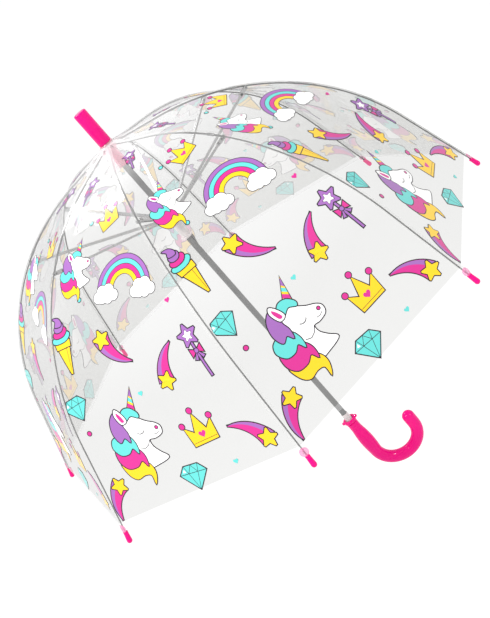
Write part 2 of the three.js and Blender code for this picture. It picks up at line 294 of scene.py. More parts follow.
def tinted(tree, source, dark, light):
    node = tree.nodes.new("ShaderNodeMix")
    node.data_type = "RGBA"
    node.inputs["A"].default_value = (*dark, 1)
    node.inputs["B"].default_value = (*light, 1)
    tree.links.new(source, node.inputs["Factor"])
    return node.outputs["Result"]


def bumped(tree, shader, source, strength, distance):
    node = tree.nodes.new("ShaderNodeBump")
    node.inputs["Strength"].default_value = strength
    node.inputs["Distance"].default_value = distance
    tree.links.new(source, node.inputs["Height"])
    tree.links.new(node.outputs["Normal"], shader.inputs["Normal"])


def scaled(colour, factor):
    return tuple(min(c * factor, 1) for c in colour)


def plastic(name, colour, roughness=0.16):
    """Glossy moulded plastic: faint flow marks in the colour, a fine uneven skin."""
    material, tree, shader = new_material(name)
    flow = noise(tree, 60, 3, (1, 1, 0.25))
    skin = noise(tree, 900, 4)
    colours = tinted(tree, flow.outputs["Fac"], scaled(colour, 0.90), scaled(colour, 1.08))
    tree.links.new(colours, shader.inputs["Base Color"])
    tree.links.new(spread(tree, skin.outputs["Fac"], roughness * 0.8, roughness * 1.35),
                   shader.inputs["Roughness"])
    shader.inputs["Specular IOR Level"].default_value = 0.12
    shader.inputs["Coat Weight"].default_value = 0.16
    shader.inputs["Coat Roughness"].default_value = 0.06
    bumped(tree, shader, skin.outputs["Fac"], 0.12, 0.0002)
    return material


def steel(name, tone=0.30, roughness=0.32):
    """Zinc plated steel: drawn along its length, dulled in patches."""
    material, tree, shader = new_material(name)
    patches = noise(tree, 35, 5)
    drawn = noise(tree, 500, 3, (1, 1, 0.04))
    colours = tinted(tree, patches.outputs["Fac"], (tone * 0.75,) * 3, (tone * 1.2,) * 3)
    tree.links.new(colours, shader.inputs["Base Color"])
    tree.links.new(spread(tree, drawn.outputs["Fac"], roughness * 0.7, roughness * 1.4),
                   shader.inputs["Roughness"])
    shader.inputs["Metallic"].default_value = 0.85
    bumped(tree, shader, drawn.outputs["Fac"], 0.15, 0.0001)
    return material


def height_share(tree, low, high, low_value=0.0, high_value=1.0):
    place = tree.nodes.new("ShaderNodeTexCoord")
    split = tree.nodes.new("ShaderNodeSeparateXYZ")
    share = tree.nodes.new("ShaderNodeMapRange")
    for socket, value in (("From Min", low), ("From Max", high), ("To Min", low_value),
                          ("To Max", high_value)):
        share.inputs[socket].default_value = value
    tree.links.new(place.outputs["Object"], split.inputs["Vector"])
    tree.links.new(split.outputs["Z"], share.inputs["Value"])
    return share.outputs["Result"]


def by_height(tree, low_colour, high_colour):
    """Turns from one colour to the other between the skirt of the canopy and its crown: painted shade,
    greyer at the skirt and clearer at the crown.
    """
    share = height_share(tree, CROWN_Z - 190 * MM, CROWN_Z - 20 * MM)
    return tinted(tree, share, low_colour, high_colour)


def see_through(name, tint, milk, shine, roughness, body=(0.95, 0.95, 0.95), skirt_shade_tint=None,
                painted_crown_glare=0.0):
    """Thin clear plastic: passes light with a tint, mirrors at its face, milky by the share milk."""
    material, tree, shader = new_material(name)
    clear = tree.nodes.new("ShaderNodeBsdfTransparent")
    clear.inputs["Color"].default_value = (*tint, 1)
    # Painted shade: the film's tint greys from the crown down to the skirt.
    if skirt_shade_tint:
        tree.links.new(by_height(tree, skirt_shade_tint, tint), clear.inputs["Color"])
    facing = tree.nodes.new("ShaderNodeLayerWeight")
    grazing = tree.nodes.new("ShaderNodeMath")
    grazing.operation = "POWER"
    grazing.inputs[1].default_value = 4.5
    tree.links.new(facing.outputs["Facing"], grazing.inputs[0])
    ripple = noise(tree, 26, 3, (1, 1, 0.35))
    bump = tree.nodes.new("ShaderNodeBump")
    bump.inputs["Strength"].default_value = 0.35
    bump.inputs["Distance"].default_value = 0.004
    tree.links.new(ripple.outputs["Fac"], bump.inputs["Height"])
    tree.links.new(bump.outputs["Normal"], shader.inputs["Normal"])
    mirror_share = tree.nodes.new("ShaderNodeMath")
    mirror_share.operation = "MULTIPLY"
    mirror_share.inputs[1].default_value = shine
    tree.links.new(grazing.outputs["Value"], mirror_share.inputs[0])
    mirror = tree.nodes.new("ShaderNodeBsdfGlossy")
    mirror.inputs["Roughness"].default_value = roughness
    tree.links.new(bump.outputs["Normal"], mirror.inputs["Normal"])
    glass = tree.nodes.new("ShaderNodeMixShader")
    tree.links.new(mirror_share.outputs["Value"], glass.inputs["Fac"])
    tree.links.new(clear.outputs["BSDF"], glass.inputs[1])
    tree.links.new(mirror.outputs["BSDF"], glass.inputs[2])
    haze_and_glare = spread(tree, noise(tree, 90, 5).outputs["Fac"], 0.05 + milk * 0.7, 0.05 + milk * 1.3)
    # Painted glare: more milky white near the crown, added to the film's real haze.
    if painted_crown_glare:
        more = tree.nodes.new("ShaderNodeMath")
        more.operation = "ADD"
        tree.links.new(haze_and_glare, more.inputs[0])
        near = height_share(tree, CROWN_Z - 28 * MM, CROWN_Z + 2 * MM, 0, painted_crown_glare)
        tree.links.new(near, more.inputs[1])
        haze_and_glare = more.outputs["Value"]
    mix = tree.nodes.new("ShaderNodeMixShader")
    tree.links.new(haze_and_glare, mix.inputs["Fac"])
    tree.links.new(glass.outputs["Shader"], mix.inputs[1])
    tree.links.new(shader.outputs["BSDF"], mix.inputs[2])
    tree.links.new(mix.outputs["Shader"], tree.nodes["Material Output"].inputs["Surface"])
    shader.inputs["Base Color"].default_value = (*body, 1)
    shader.inputs["Roughness"].default_value = roughness
    return material


def ink(name, colour):
    """Screen printing ink on film: slight grain, satin."""
    material, tree, shader = new_material(name)
    grain = noise(tree, 1400, 2)
    colours = tinted(tree, grain.outputs["Fac"], scaled(colour, 0.93), scaled(colour, 1.05))
    tree.links.new(colours, shader.inputs["Base Color"])
    shader.inputs["Roughness"].default_value = 0.3
    shader.inputs["Coat Weight"].default_value = 0.3
    bumped(tree, shader, grain.outputs["Fac"], 0.05, 0.0001)
    return material


PINK_PLASTIC = plastic("pink_plastic", HOT_PINK)
STEEL = steel("plated_steel", 0.24, 0.3)
# Painted highlight: the stretchers take a lighter copy of the plated steel, for the sheen along their
# edges.
STRETCHER_STEEL_PAINTED_HIGHLIGHT = steel("stretcher_steel_painted_highlight", 0.5, 0.3)
DARK_STEEL = steel("rib_steel", 0.12, 0.36)
CLEAR_PINK = see_through("clear_pink_plastic", (0.99, 0.84, 0.87), 0.30, 0.7, 0.18, (0.95, 0.45, 0.56))
POCKET_PINK = see_through("pocket_pink", (0.99, 0.82, 0.90), 0.34, 0.7, 0.2, (0.95, 0.36, 0.60))
CLEAR_WHITE = see_through("clear_white_plastic", (0.97, 0.95, 0.95), 0.42, 0.7, 0.2, (0.95, 0.90, 0.90))
# Painted light on the film: greyer towards the skirt (painted shade), and film and seams milky white near
# the crown (painted glare).
FILM = see_through("clear_film", (0.95, 0.95, 0.95), 0.02, 0.8, 0.05,
                   skirt_shade_tint=(0.80, 0.80, 0.79), painted_crown_glare=0.3)
SEAM = see_through("welded_seam", (0.95, 0.95, 0.945), 0.05, 0.8, 0.15, painted_crown_glare=0.4)
HEM = see_through("welded_hem", (0.975, 0.975, 0.975), 0.10, 0.8, 0.2)
INKS = {name: ink(f"ink_{name}", colour) for name, colour in INK.items()}
# Painted light: paler copies of the inks for the inside face, standing in for light shining through the ink
# from behind.
PAINTED_BACKLIGHT_INKS = {name: ink(f"ink_{name}_back", tuple(0.45 * c + 0.52 for c in colour))
             for name, colour in INK.items()}


# ---- The canopy film ----

def unit(angle):
    return Vector((math.cos(angle), math.sin(angle), 0))


def gather(obj):
    """Gives a half gore, or the print on it, its own copy of its mesh.
    """
    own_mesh(obj)


PARTS = {
    "upper": {"start": FILM_START, "end": JOINT_STATION, "rows": 26, "keep": 0.13},
    "lower": {"start": JOINT_STATION, "end": FILM_END, "rows": 46, "keep": 0.16},
}
SIDES = {"left": -1, "right": 1}
COLUMNS = 19


def gore_of(rib, side):
    return rib if side > 0 else (rib - 2) % RIB_COUNT + 1


def across(side, half, share):
    """x in the gore's frame, share 0 at the rib and 1 at the gore's middle."""
    return -side * half * (1 - share)


def film_half(rib, side_name, part_name):
    side, part = SIDES[side_name], PARTS[part_name]
    gore = gore_of(rib, side)
    rows = [part["start"] + (part["end"] - part["start"]) * i / (part["rows"] - 1)
            for i in range(part["rows"])]
    points = [film_point(gore, s, across(side, half_width(s), j / (COLUMNS - 1)))
              for s in rows for j in range(COLUMNS)]
    faces = grid_faces(len(rows), COLUMNS, flip=side > 0)
    hem = [int(rows[i] >= FILM_END - HEM_WIDTH) for i in range(len(rows) - 1)]
    marks = [mark for mark in hem for _ in range(COLUMNS - 1)]
    name = f"film_{rib}_{side_name}_{part_name}"
    obj = piece(name, points, faces, [FILM, HEM], marks)
    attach(obj, f"rib_{rib}_{part_name}")
    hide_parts(f"canopy_gore_{gore}_{part_name}")
    gather(obj)


def seam_strip(rib):
    """The band where two gores are welded, over the whole rib."""
    rows = 90
    stations = [FILM_START + (FILM_END - FILM_START) * i / (rows - 1) for i in range(rows)]
    points = []
    for s in stations:
        width = min(SEAM_HALF, half_width(s) * 0.8)
        for side, share in ((-1, 1), (-1, 0.5), (0, 0), (1, 0.5), (1, 1)):
            gore = gore_of(rib, side if side else 1)
            x = -(side or 1) * (half_width(s) - width * share)
            points.append(film_point(gore, s, x, above=0.2 * MM))
    obj = piece(f"seam_{rib}", points, grid_faces(rows, 5, flip=True), [SEAM])
    bend_with_rib(obj)


def bend_with_rib(obj):
    """Bakes the object's place into its mesh."""
    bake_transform(obj)


def crown_film():
    """The middle of the canopy, clamped under the ferrule."""
    shape = [(4.7, 5.2), (7.0, 5.0), (9.5, 4.0), (11.5, 2.75), (13.2, 2.05)]
    sides = 48
    points = []
    for r, z in shape:
        for k in range(sides):
            angle = 2 * math.pi * k / sides
            off = (angle % PITCH) - PITCH / 2
            flat = math.cos(PITCH / 2) / math.cos(off) if r > 9 else 1
            points.append((r * MM * flat * math.cos(angle), r * MM * flat * math.sin(angle),
                           CROWN_Z + z * MM))
    faces = []
    for i in range(len(shape) - 1):
        for k in range(sides):
            a, b = i * sides + k, i * sides + (k + 1) % sides
            faces.append((a, a + sides, b + sides, b))
    obj = piece("crown_film", points, faces, [SEAM])
    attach(obj, "shaft")


for rib_number in range(1, RIB_COUNT + 1):
    for side_name in SIDES:
        for part_name in PARTS:
            film_half(rib_number, side_name, part_name)
    seam_strip(rib_number)
crown_film()


# ---- The printed pattern: every motif is drawn flat, in millimetres, then laid on the film ----
# A shape is (ink, outline points, coat). Where shapes overlap, the one with the highest coat shows.

def turn_points(points, degrees, centre=(0, 0), size=1.0):
    c, s = math.cos(math.radians(degrees)) * size, math.sin(math.radians(degrees)) * size
    return [(centre[0] + x * c - y * s, centre[1] + x * s + y * c) for x, y in points]


def placed(shapes, centre, degrees=0, size=1.0):
    return [(colour, turn_points(points, degrees, centre, size), coat)
            for colour, points, coat in shapes]


def circle(radius, centre=(0, 0), steps=20, start=0, end=360):
    full = end - start == 360
    count = steps if full else steps + 1
    return [(centre[0] + radius * math.cos(math.radians(start + (end - start) * i / steps)),
             centre[1] + radius * math.sin(math.radians(start + (end - start) * i / steps)))
            for i in range(count)]


def curve(points, steps=8):
    """A smooth closed outline through a few points (Catmull-Rom)."""
    out, count = [], len(points)
    for i in range(count):
        p0, p1, p2, p3 = (points[(i + k) % count] for k in (-1, 0, 1, 2))
        for j in range(steps):
            t = j / steps
            out.append(tuple(
                0.5 * (2 * p1[a] + (p2[a] - p0[a]) * t
                       + (2 * p0[a] - 5 * p1[a] + 4 * p2[a] - p3[a]) * t * t
                       + (3 * p1[a] - p0[a] - 3 * p2[a] + p3[a]) * t ** 3) for a in (0, 1)))
    return out


def signed_area(points):
    return sum(a[0] * b[1] - b[0] * a[1] for a, b in zip(points, points[1:] + points[:1])) / 2


def grown(points, width):
    """The outline moved outwards by a line's width."""
    sign = 1 if signed_area(points) > 0 else -1
    out, count = [], len(points)
    for i, (x, y) in enumerate(points):
        before, after = points[i - 1], points[(i + 1) % count]
        d1 = Vector((x - before[0], y - before[1])).normalized()
        d2 = Vector((after[0] - x, after[1] - y)).normalized()
        n1, n2 = Vector((d1.y, -d1.x)), Vector((d2.y, -d2.x))
        mid = n1 + n2
        if mid.length < 0.2:
            mid = n1
        mid = mid.normalized()
        reach = width / max(mid.dot(n1), 0.5)
        out.append((x + sign * mid.x * reach, y + sign * mid.y * reach))
    return out


def outlined(colour, points, coat=1, line=1.2):
    """A filled shape on its own dark outline."""
    return [("line", grown(points, line), coat), (colour, points, coat + 1)]


def stroke(points, width, colour="line", coat=3):
    """A drawn line: each stretch a thin bar."""
    shapes = []
    for (x0, y0), (x1, y1) in zip(points, points[1:]):
        length = math.hypot(x1 - x0, y1 - y0) or 1
        nx, ny = -(y1 - y0) / length * width / 2, (x1 - x0) / length * width / 2
        shapes.append((colour, [(x0 + nx, y0 + ny), (x0 - nx, y0 - ny), (x1 - nx, y1 - ny),
                                (x1 + nx, y1 + ny)], coat))
    return shapes


def star_points(radius, inner=0.54):
    corners = []
    for i in range(10):
        reach = radius * (1 if i % 2 == 0 else inner)
        angle = math.radians(-90 + 36 * i)
        if i % 2:
            corners.append((reach * math.cos(angle), reach * math.sin(angle)))
        else:
            for lean in (-4, 4):
                point = math.radians(-90 + 36 * i + lean)
                corners.append((reach * math.cos(point), reach * math.sin(point)))
    return corners


def star(radius, colour="yellow"):
    return outlined(colour, star_points(radius))


def heart_points(size):
    return [(size * 0.062 * 16 * math.sin(t) ** 3,
             -size * 0.062 * (13 * math.cos(t) - 5 * math.cos(2 * t) - 2 * math.cos(3 * t)
                              - math.cos(4 * t)))
            for t in (2 * math.pi * i / 28 for i in range(28))]


def heart(size, colour):
    return outlined(colour, heart_points(size), line=0.9)


def dot(radius, colour):
    return outlined(colour, circle(radius, steps=14), line=0.9)


def comet(mirror=1):
    """A star at the origin; its tail runs to the right, bends by a sixth of a turn and narrows."""
    turn, length, steps = math.radians(60), 50.0, 14
    radius = length / turn

    def along(t, share):
        heading = turn * (0.5 - t)
        x = radius * (math.sin(turn / 2) - math.sin(heading))
        y = radius * (math.cos(heading) - math.cos(turn / 2))
        half = share * 10.5 * (1 - t) ** 0.85
        return x - half * math.sin(heading), mirror * (y + half * math.cos(heading))

    def band(inner, outer):
        lower = [along(i / steps, inner) for i in range(steps + 1)]
        upper = [along(i / steps, outer) for i in range(steps, -1, -1)]
        return lower + upper

    tail = outlined("magenta", band(-1, 1))
    tail.append(("purple", band(0.35, 0.97), 3))
    return tail + placed([(c, p, k + 4) for c, p, k in star(11.5)], (0, 0), 14)


def cloud():
    lobes = [(-11, 2, 6.5), (-5, -4, 7.5), (4, -4.5, 8), (11, 1, 6.5), (3, 3.5, 6.5), (-5, 3.5, 6)]
    shapes = [("line", circle(r + 0.8, (x, y), 22), 7) for x, y, r in lobes]
    return shapes + [("white", circle(r, (x, y), 22), 8) for x, y, r in lobes]


def rainbow():
    outer, step = 37, 5.6
    rim = circle(outer + 0.8, steps=44, start=180, end=360)
    inner = circle(outer - 4 * step, steps=44, start=180, end=360)
    shapes = [("line", rim + inner[::-1], 1)]
    for i, colour in enumerate(("purple", "turquoise", "magenta", "yellow")):
        reach = outer - step * i
        ring = circle(reach, steps=44, start=180, end=360)
        ring += circle(reach - step + 0.7, steps=44, start=180, end=360)[::-1]
        shapes.append((colour, ring, 2))
    for side in (-1, 1):
        shapes += placed(cloud(), (side * (outer - 2 * step), 5), 0, 0.98)
    return shapes


def crown():
    body = [(-16, 14), (-18, -9), (-8, 0), (0, -21), (8, 0), (18, -9), (16, 14)]
    shapes = outlined("yellow", body)
    shapes += stroke([(-15.8, 10.6), (15.8, 10.6)], 0.6)
    for x, y in ((-18.5, -12), (0, -24.5), (18.5, -12)):
        shapes += [(c, p, k + 3) for c, p, k in placed(dot(3.2, "magenta"), (x, y))]
    return shapes + [(c, p, k + 3) for c, p, k in placed(heart(4.6, "magenta"), (0, 3.5))]


def gem():
    """A cut stone seen from the side: a crown of facets over a pointed pavilion."""
    body = [(-9, -14), (9, -14), (17, -5), (0, 15), (-17, -5)]
    shapes = outlined("turquoise", body)
    shapes += stroke([(-17, -5), (17, -5)], 0.7)
    for a, b in (((-9, -14), (-6, -5)), ((9, -14), (6, -5)), ((0, -14), (-6, -5)),
                 ((0, -14), (6, -5)), ((-6, -5), (0, 15)), ((6, -5), (0, 15))):
        shapes += stroke([a, b], 0.6)
    shapes.append(("white", [(-12.5, -7.5), (-10, -11), (-8.6, -7)], 4))
    return shapes


def cone():
    """Soft ice in three swirls on a wafer cone, the cone's point at the bottom."""
    shapes = outlined("yellow", [(-9, -2), (9, -2), (1, 32), (-1, 32)])
    shapes += [(c, p, k + 2) for c, p, k in
               outlined("yellow", [(-11, -8), (11, -8), (10, 0), (-10, 0)])]
    shapes += stroke([(3.6, 1), (0.8, 28)], 0.5)
    for i, colour in enumerate(("turquoise", "magenta", "purple")):
        wide, y = 12.5 - 2.9 * i, -12 - 6.6 * i
        scoop = curve([(-wide, y + 2.4), (-wide + 0.8, y - 2.2), (0, y - 5.5), (wide - 1.4, y - 5.2),
                       (wide, y - 0.6), (wide * 0.45, y + 4.4), (-wide * 0.5, y + 5)], 5)
        shapes += [(c, p, k + 4 + 2 * i) for c, p, k in outlined(colour, scoop)]
    tip = curve([(-5, -28), (-3, -34), (-6, -38.5), (1.5, -37), (5, -31), (3, -26.5)], 5)
    return shapes + [(c, p, k + 10) for c, p, k in outlined("purple", tip)]


def wand():
    """A star wand: star at the origin, bow and stick straight below."""
    shapes = outlined("purple", [(-1.1, 8), (1.1, 8), (1.1, 48), (-1.1, 48)])
    shapes += [(c, p, k + 2) for c, p, k in star(12.5, "purple")]
    shapes.append(("line", star_points(6.8), 5))
    shapes.append(("white", star_points(6.0), 6))
    for side in (-1, 1):
        loop = [(0, 18), (side * 7.5, 13.5), (side * 7.5, 22.5)]
        tail = [(0, 18), (side * 3.5, 27.5), (side * 6.5, 26)]
        shapes += [(c, p, k + 4) for c, p, k in outlined("purple", tail)]
        shapes += [(c, p, k + 5) for c, p, k in outlined("magenta", loop)]
    return shapes + [(c, p, k + 7) for c, p, k in placed(dot(2.3, "purple"), (0, 18))]


def lock(points, colour, coat):
    return outlined(colour, curve(points, 5), coat)


def unicorn():
    """A unicorn's head and neck looking right, the horn upwards, with a four-coloured mane."""
    head = curve([(-14, -20), (-3, -26), (8, -19), (18, -10), (27, -4), (31, 2), (28, 9), (18, 11),
                  (10, 10), (9, 18), (14, 27), (20, 36), (4, 39), (-14, 38), (-19, 22), (-19, 0)], 5)
    shapes = [(c, p, k + 5) for c, p, k in outlined("white", head)]
    horn = [(1, -25), (11, -19), (21, -50)]
    shapes += [(c, p, k + 3) for c, p, k in outlined("yellow", horn)]
    for colour, low, high in (("magenta", 0.30, 0.44), ("turquoise", 0.52, 0.66),
                              ("purple", 0.72, 0.97)):
        left = [(1 + 20 * t, -25 - 25 * t) for t in (low, high)]
        right = [(11 + 10 * t, -19 - 31 * t) for t in (high - 0.06, low - 0.06)]
        shapes.append((colour, left + right, 5))
    ear = curve([(-12, -18), (-15, -30), (-11, -36), (-6, -29), (-4, -19)], 4)
    shapes += [(c, p, k + 16) for c, p, k in outlined("white", ear)]
    shapes.append(("magenta", curve([(-10.5, -20), (-12.5, -28), (-11, -32), (-8, -27), (-6.5, -20)],
                                    4), 18))
    shapes += lock([(-8, -26), (-1, -32), (8, -30), (14, -22), (12, -17), (4, -22), (-5, -19)],
                   "turquoise", 12)
    shapes += lock([(-14, -33), (-8, -26), (-12, -16), (-11, -6), (-14, 4), (-18, -3), (-26, 0),
                    (-29, -12), (-24, -26)], "purple", 14)
    shapes += lock([(-30, -8), (-20, -9), (-12, -3), (-9, 8), (-12, 19), (-16, 11), (-24, 15),
                    (-34, 13), (-39, 3), (-36, -5)], "turquoise", 12)
    shapes += lock([(-38, 6), (-28, 11), (-18, 10), (-10, 15), (-7, 25), (-10, 36), (-14, 28),
                    (-23, 32), (-35, 30), (-41, 19)], "magenta", 10)
    shapes += lock([(-41, 22), (-32, 29), (-20, 28), (-11, 30), (-6, 38), (-7, 48), (-14, 58),
                    (-13, 47), (-21, 44), (-32, 45), (-39, 37)], "yellow", 8)
    shapes += stroke([(-7, 14), (-1, 17), (5, 15), (10, 10)], 0.9, coat=8)
    eye = [(5 + 5 * math.cos(a), -3 + 3.6 * math.sin(a)) for a in
           (math.radians(d) for d in range(20, 165, 16))]
    shapes += stroke(eye, 1.0, coat=8)
    shapes += [(c, p, k + 7) for c, p, k in placed(dot(1.6, "magenta"), (26, 1))]
    shapes += stroke([(18, 6.5), (22, 7.5), (26, 6)], 0.7, coat=8)
    return shapes


# Where each motif lies on a gore: x from its middle towards the next rib, s down from the crown
LAYOUT = (
    (wand, -5, 66, 22, 0.72),
    (crown, 25, 143, -13, 0.80),
    (unicorn, -30, 181, -2, 0.66),
    (lambda: dot(2.2, "turquoise"), -2, 135, 0, 1),
    (lambda: dot(2.2, "turquoise"), -36, 220, 0, 1),
    (rainbow, 27, 234, 17, 1),
    (cone, -75, 262, 3, 0.95),
    (comet, -24, 274, 53, 0.96),
    (lambda: heart(3.2, "magenta"), 75, 272, 0, 1),
    (lambda: comet(mirror=-1), 31, 347, -54, 0.92),
    (wand, 80, 315, -5, 1),
    (gem, -92, 330, -4, 0.92),
    (lambda: dot(2.4, "magenta"), -94, 360, 0, 1),
    (lambda: heart(3.2, "turquoise"), -7, 346, 0, 1),
    (unicorn, -38, 385, 0, 1),
    (crown, 35, 410, 0, 1),
    (comet, 102, 446, -142, 0.96),
    (gem, -2, 453, 6, 1),
    (comet, -98, 428, 119, 0.92),
    (lambda: heart(3.2, "turquoise"), 53, 455, 0, 1),
)


def pattern():
    """One gore's print as flat faces, one ink to a face, cut at the gore's middle and the joint."""
    names = list(INK)
    points, outlines, shapes = [], [], []
    for build, x, s, degrees, size in LAYOUT:
        for colour, outline, coat in placed(build(), (x, s), degrees, size):
            outline = outline if signed_area(outline) > 0 else outline[::-1]
            outlines.append(list(range(len(points), len(points) + len(outline))))
            points += [Vector(p) for p in outline]
            shapes.append((coat, len(shapes), names.index(colour)))
    corners, _, cells, _, _, origins = delaunay_2d_cdt(points, [], outlines, 1, 1e-4, True)
    work = bmesh.new()
    verts = [work.verts.new((x, s, 0)) for x, s in corners]
    for cell, covering in zip(cells, origins):
        if covering:
            face = work.faces.new([verts[i] for i in cell])
            face.material_index = max(shapes[i] for i in covering)[2]
    joint = JOINT_STATION / MM
    cuts = [((x, 0, 0), (1, 0, 0)) for x in range(-120, 121, PRINT_CUT)]
    cuts += [((0, s, 0), (0, 1, 0)) for s in [joint] + list(range(42, 480, PRINT_CUT))]
    for place, normal in cuts:
        geometry = work.verts[:] + work.edges[:] + work.faces[:]
        bmesh.ops.bisect_plane(work, geom=geometry, plane_co=place, plane_no=normal, dist=1e-5)
    faces = []
    for face in work.faces:
        middle = face.calc_center_median()
        part = "upper" if middle.y < joint else "lower"
        faces.append((part, middle.x > 0, face.material_index, [v.co.xy[:] for v in face.verts]))
    work.free()
    return faces


def print_half(rib, side_name, part_name, shapes):
    """The ink on half a gore: the coloured coat outside, and inside its show-through in paler inks, which
    paint the light coming through the ink.
    """
    side, part = SIDES[side_name], PARTS[part_name]
    gore = gore_of(rib, side)
    points, faces, marks, seen = [], [], [], {}
    for shape_part, beyond_middle, ink_index, corners in shapes:
        if shape_part != part_name or beyond_middle != (side < 0):
            continue
        for coat, above in enumerate((PRINT_OUTSIDE, PRINT_INSIDE)):
            face = []
            for x, s in corners:
                key = (round(x, 4), round(s, 4), coat)
                if key not in seen:
                    seen[key] = len(points)
                    limit = half_width(s * MM) - SEAM_HALF * 0.5
                    points.append(film_point(gore, s * MM, max(-limit, min(limit, x * MM)), above))
                face.append(seen[key])
            faces.append(face[::-1] if coat else face)
            marks.append(ink_index + coat * len(INK))
    inks = list(INKS.values()) + list(PAINTED_BACKLIGHT_INKS.values())
    obj = piece(f"print_{rib}_{side_name}_{part_name}", points, faces, inks, marks)
    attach(obj, f"rib_{rib}_{part_name}")
    gather(obj)


PATTERN = pattern()
for rib_number in range(1, RIB_COUNT + 1):
    for side_name in SIDES:
        for part_name in PARTS:
            print_half(rib_number, side_name, part_name, PATTERN)


# ---- Ribs, tips and their pockets ----

def in_plane(rib, r, z):
    return r * unit(PITCH * (rib - 1)) + Vector((0, 0, z))


def rib_rod(rib):
    """Both links of a rib: the upper one a stout wire, the lower one drawn thinner."""
    count = 110
    stations = [ROD_START + (RIB_LENGTH - 8 * MM) * i / (count - 1) for i in range(count)]
    path = [in_plane(rib, *rib_station(s)[:2]) for s in stations]
    radii = [UPPER_ROD_RADIUS if s < JOINT_STATION else LOWER_ROD_RADIUS for s in stations]
    obj = tube(f"rib_{rib}_rod", path, radii, 10, DARK_STEEL, rib_side(rib))
    bend_with_rib(obj)
    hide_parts(f"rib_{rib}_upper", f"rib_{rib}_lower")


def rib_side(rib):
    return Vector((0, 0, 1)).cross(unit(PITCH * (rib - 1)))


def rib_joint(rib):
    """The sleeve crimped on the upper link, and the rivet that joins link and stretcher."""
    shape = [(149, 1.15), (150, 1.45), (151.5, 1.55), (157, 1.55), (158.5, 1.45), (159.5, 1.15)]
    path = [in_plane(rib, *rib_station(s * MM)[:2]) for s, _ in shape]
    sleeve = tube(f"rib_{rib}_sleeve", path, [r * MM for _, r in shape], 14, STEEL, rib_side(rib))
    pin = in_plane(rib, JOINT_X, JOINT_Z)
    heads = [(-3.3, 0.5), (-3.2, 1.2), (-2.9, 1.3), (-2.8, 0.65), (2.8, 0.65), (2.9, 1.3),
             (3.2, 1.2), (3.3, 0.5)]
    path = [pin + rib_side(rib) * (y * MM) for y, _ in heads]
    rivet = tube(f"rib_{rib}_rivet", path, [r * MM for _, r in heads], 14, STEEL,
                 unit(PITCH * (rib - 1)))
    eye = turned(f"rib_{rib}_eye", [(0.75 * MM, -0.5 * MM), (1.8 * MM, -0.5 * MM),
                                    (1.8 * MM, 0.5 * MM), (0.75 * MM, 0.5 * MM)], 20, STEEL)
    axis = rib_side(rib).to_track_quat("Z", "Y").to_matrix().to_4x4()
    eye.data.transform(Matrix.Translation(pin) @ axis)
    for obj in (sleeve, rivet, eye):
        sharpen(obj, 40)
        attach(obj, f"rib_{rib}_upper")


def capsule(rib, start, end, radius, low, high):
    """A flat link with round ends between two points of the rib's plane; low and high across it."""
    steps = 10
    run = (end - start).normalized()
    across = Vector((-run.y, run.x))
    outline = []
    for centre, turn in ((end, -90), (start, 90)):
        for i in range(steps + 1):
            angle = math.radians(turn + 180 * i / steps)
            outline.append(centre + radius * (math.cos(angle) * run + math.sin(angle) * across))
    count = len(outline)
    points = [in_plane(rib, *p) + rib_side(rib) * y for y in (low, high) for p in outline]
    faces = [(i, (i + 1) % count, (i + 1) % count + count, i + count) for i in range(count)]
    faces += [tuple(range(count))[::-1], tuple(range(count, 2 * count))]
    return points, faces


def channel(rib, start, end, stops, depth, wall):
    """A folded strip, open below, whose half width follows stops of (distance, half width)."""
    run = (end - start).normalized()
    up = Vector((-run.y, run.x))
    if up.y < 0:
        up = -up
    points, faces = [], []
    for distance, half in stops:
        centre = start + run * distance
        inside = max(half - wall, 0.3 * MM)
        section = [(-half, -depth), (-half, depth), (half, depth), (half, -depth),
                   (inside, -depth), (inside, depth - wall), (-inside, depth - wall),
                   (-inside, -depth)]
        points += [in_plane(rib, *(centre + up * h)) + rib_side(rib) * w for w, h in section]
    for i in range(len(stops) - 1):
        for k in range(8):
            a, b = i * 8 + k, i * 8 + (k + 1) % 8
            faces.append((a, b, b + 8, a + 8))
    last = 8 * (len(stops) - 1)
    faces += [tuple(range(8))[::-1], tuple(range(last, last + 8))]
    return points, faces


def stretcher(rib):
    """A strip folded into a channel, with two ears on the rib's rivet and a tab in the runner."""
    low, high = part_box("stretcher_1")
    ear = high[0] - JOINT_X
    joint = Vector((JOINT_X, JOINT_Z))
    pivot = Vector((low[0] + STRETCHER_EYE, low[2] + STRETCHER_EYE))
    length = (pivot - joint).length
    run = (pivot - joint) / length
    outer, inner = high[1], high[1] - 0.6 * MM
    solids = [capsule(rib, joint, joint + run * 12 * MM, ear, side * inner, side * outer)
              for side in (-1, 1)]
    stops = [(8 * MM, outer), (11 * MM, outer), (17 * MM, 2.1 * MM), (length - 18 * MM, 2.1 * MM),
             (length - 11 * MM, 1.3 * MM), (length - 8 * MM, 1.1 * MM)]
    solids.append(channel(rib, joint, pivot, stops, 1.3 * MM, 0.5 * MM))
    solids.append(capsule(rib, joint + run * (length - 13 * MM), pivot, STRETCHER_EYE,
                          -0.8 * MM, 0.8 * MM))
    points, faces = [], []
    for some_points, some_faces in solids:
        first = len(points)
        points += some_points
        faces += [tuple(first + v for v in face) for face in some_faces]
    obj = piece(f"stretcher_{rib}_channel", points, faces, [STRETCHER_STEEL_PAINTED_HIGHLIGHT])
    outward(obj)
    sharpen(obj, 30)
    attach(obj, f"stretcher_{rib}")
    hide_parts(f"stretcher_{rib}")


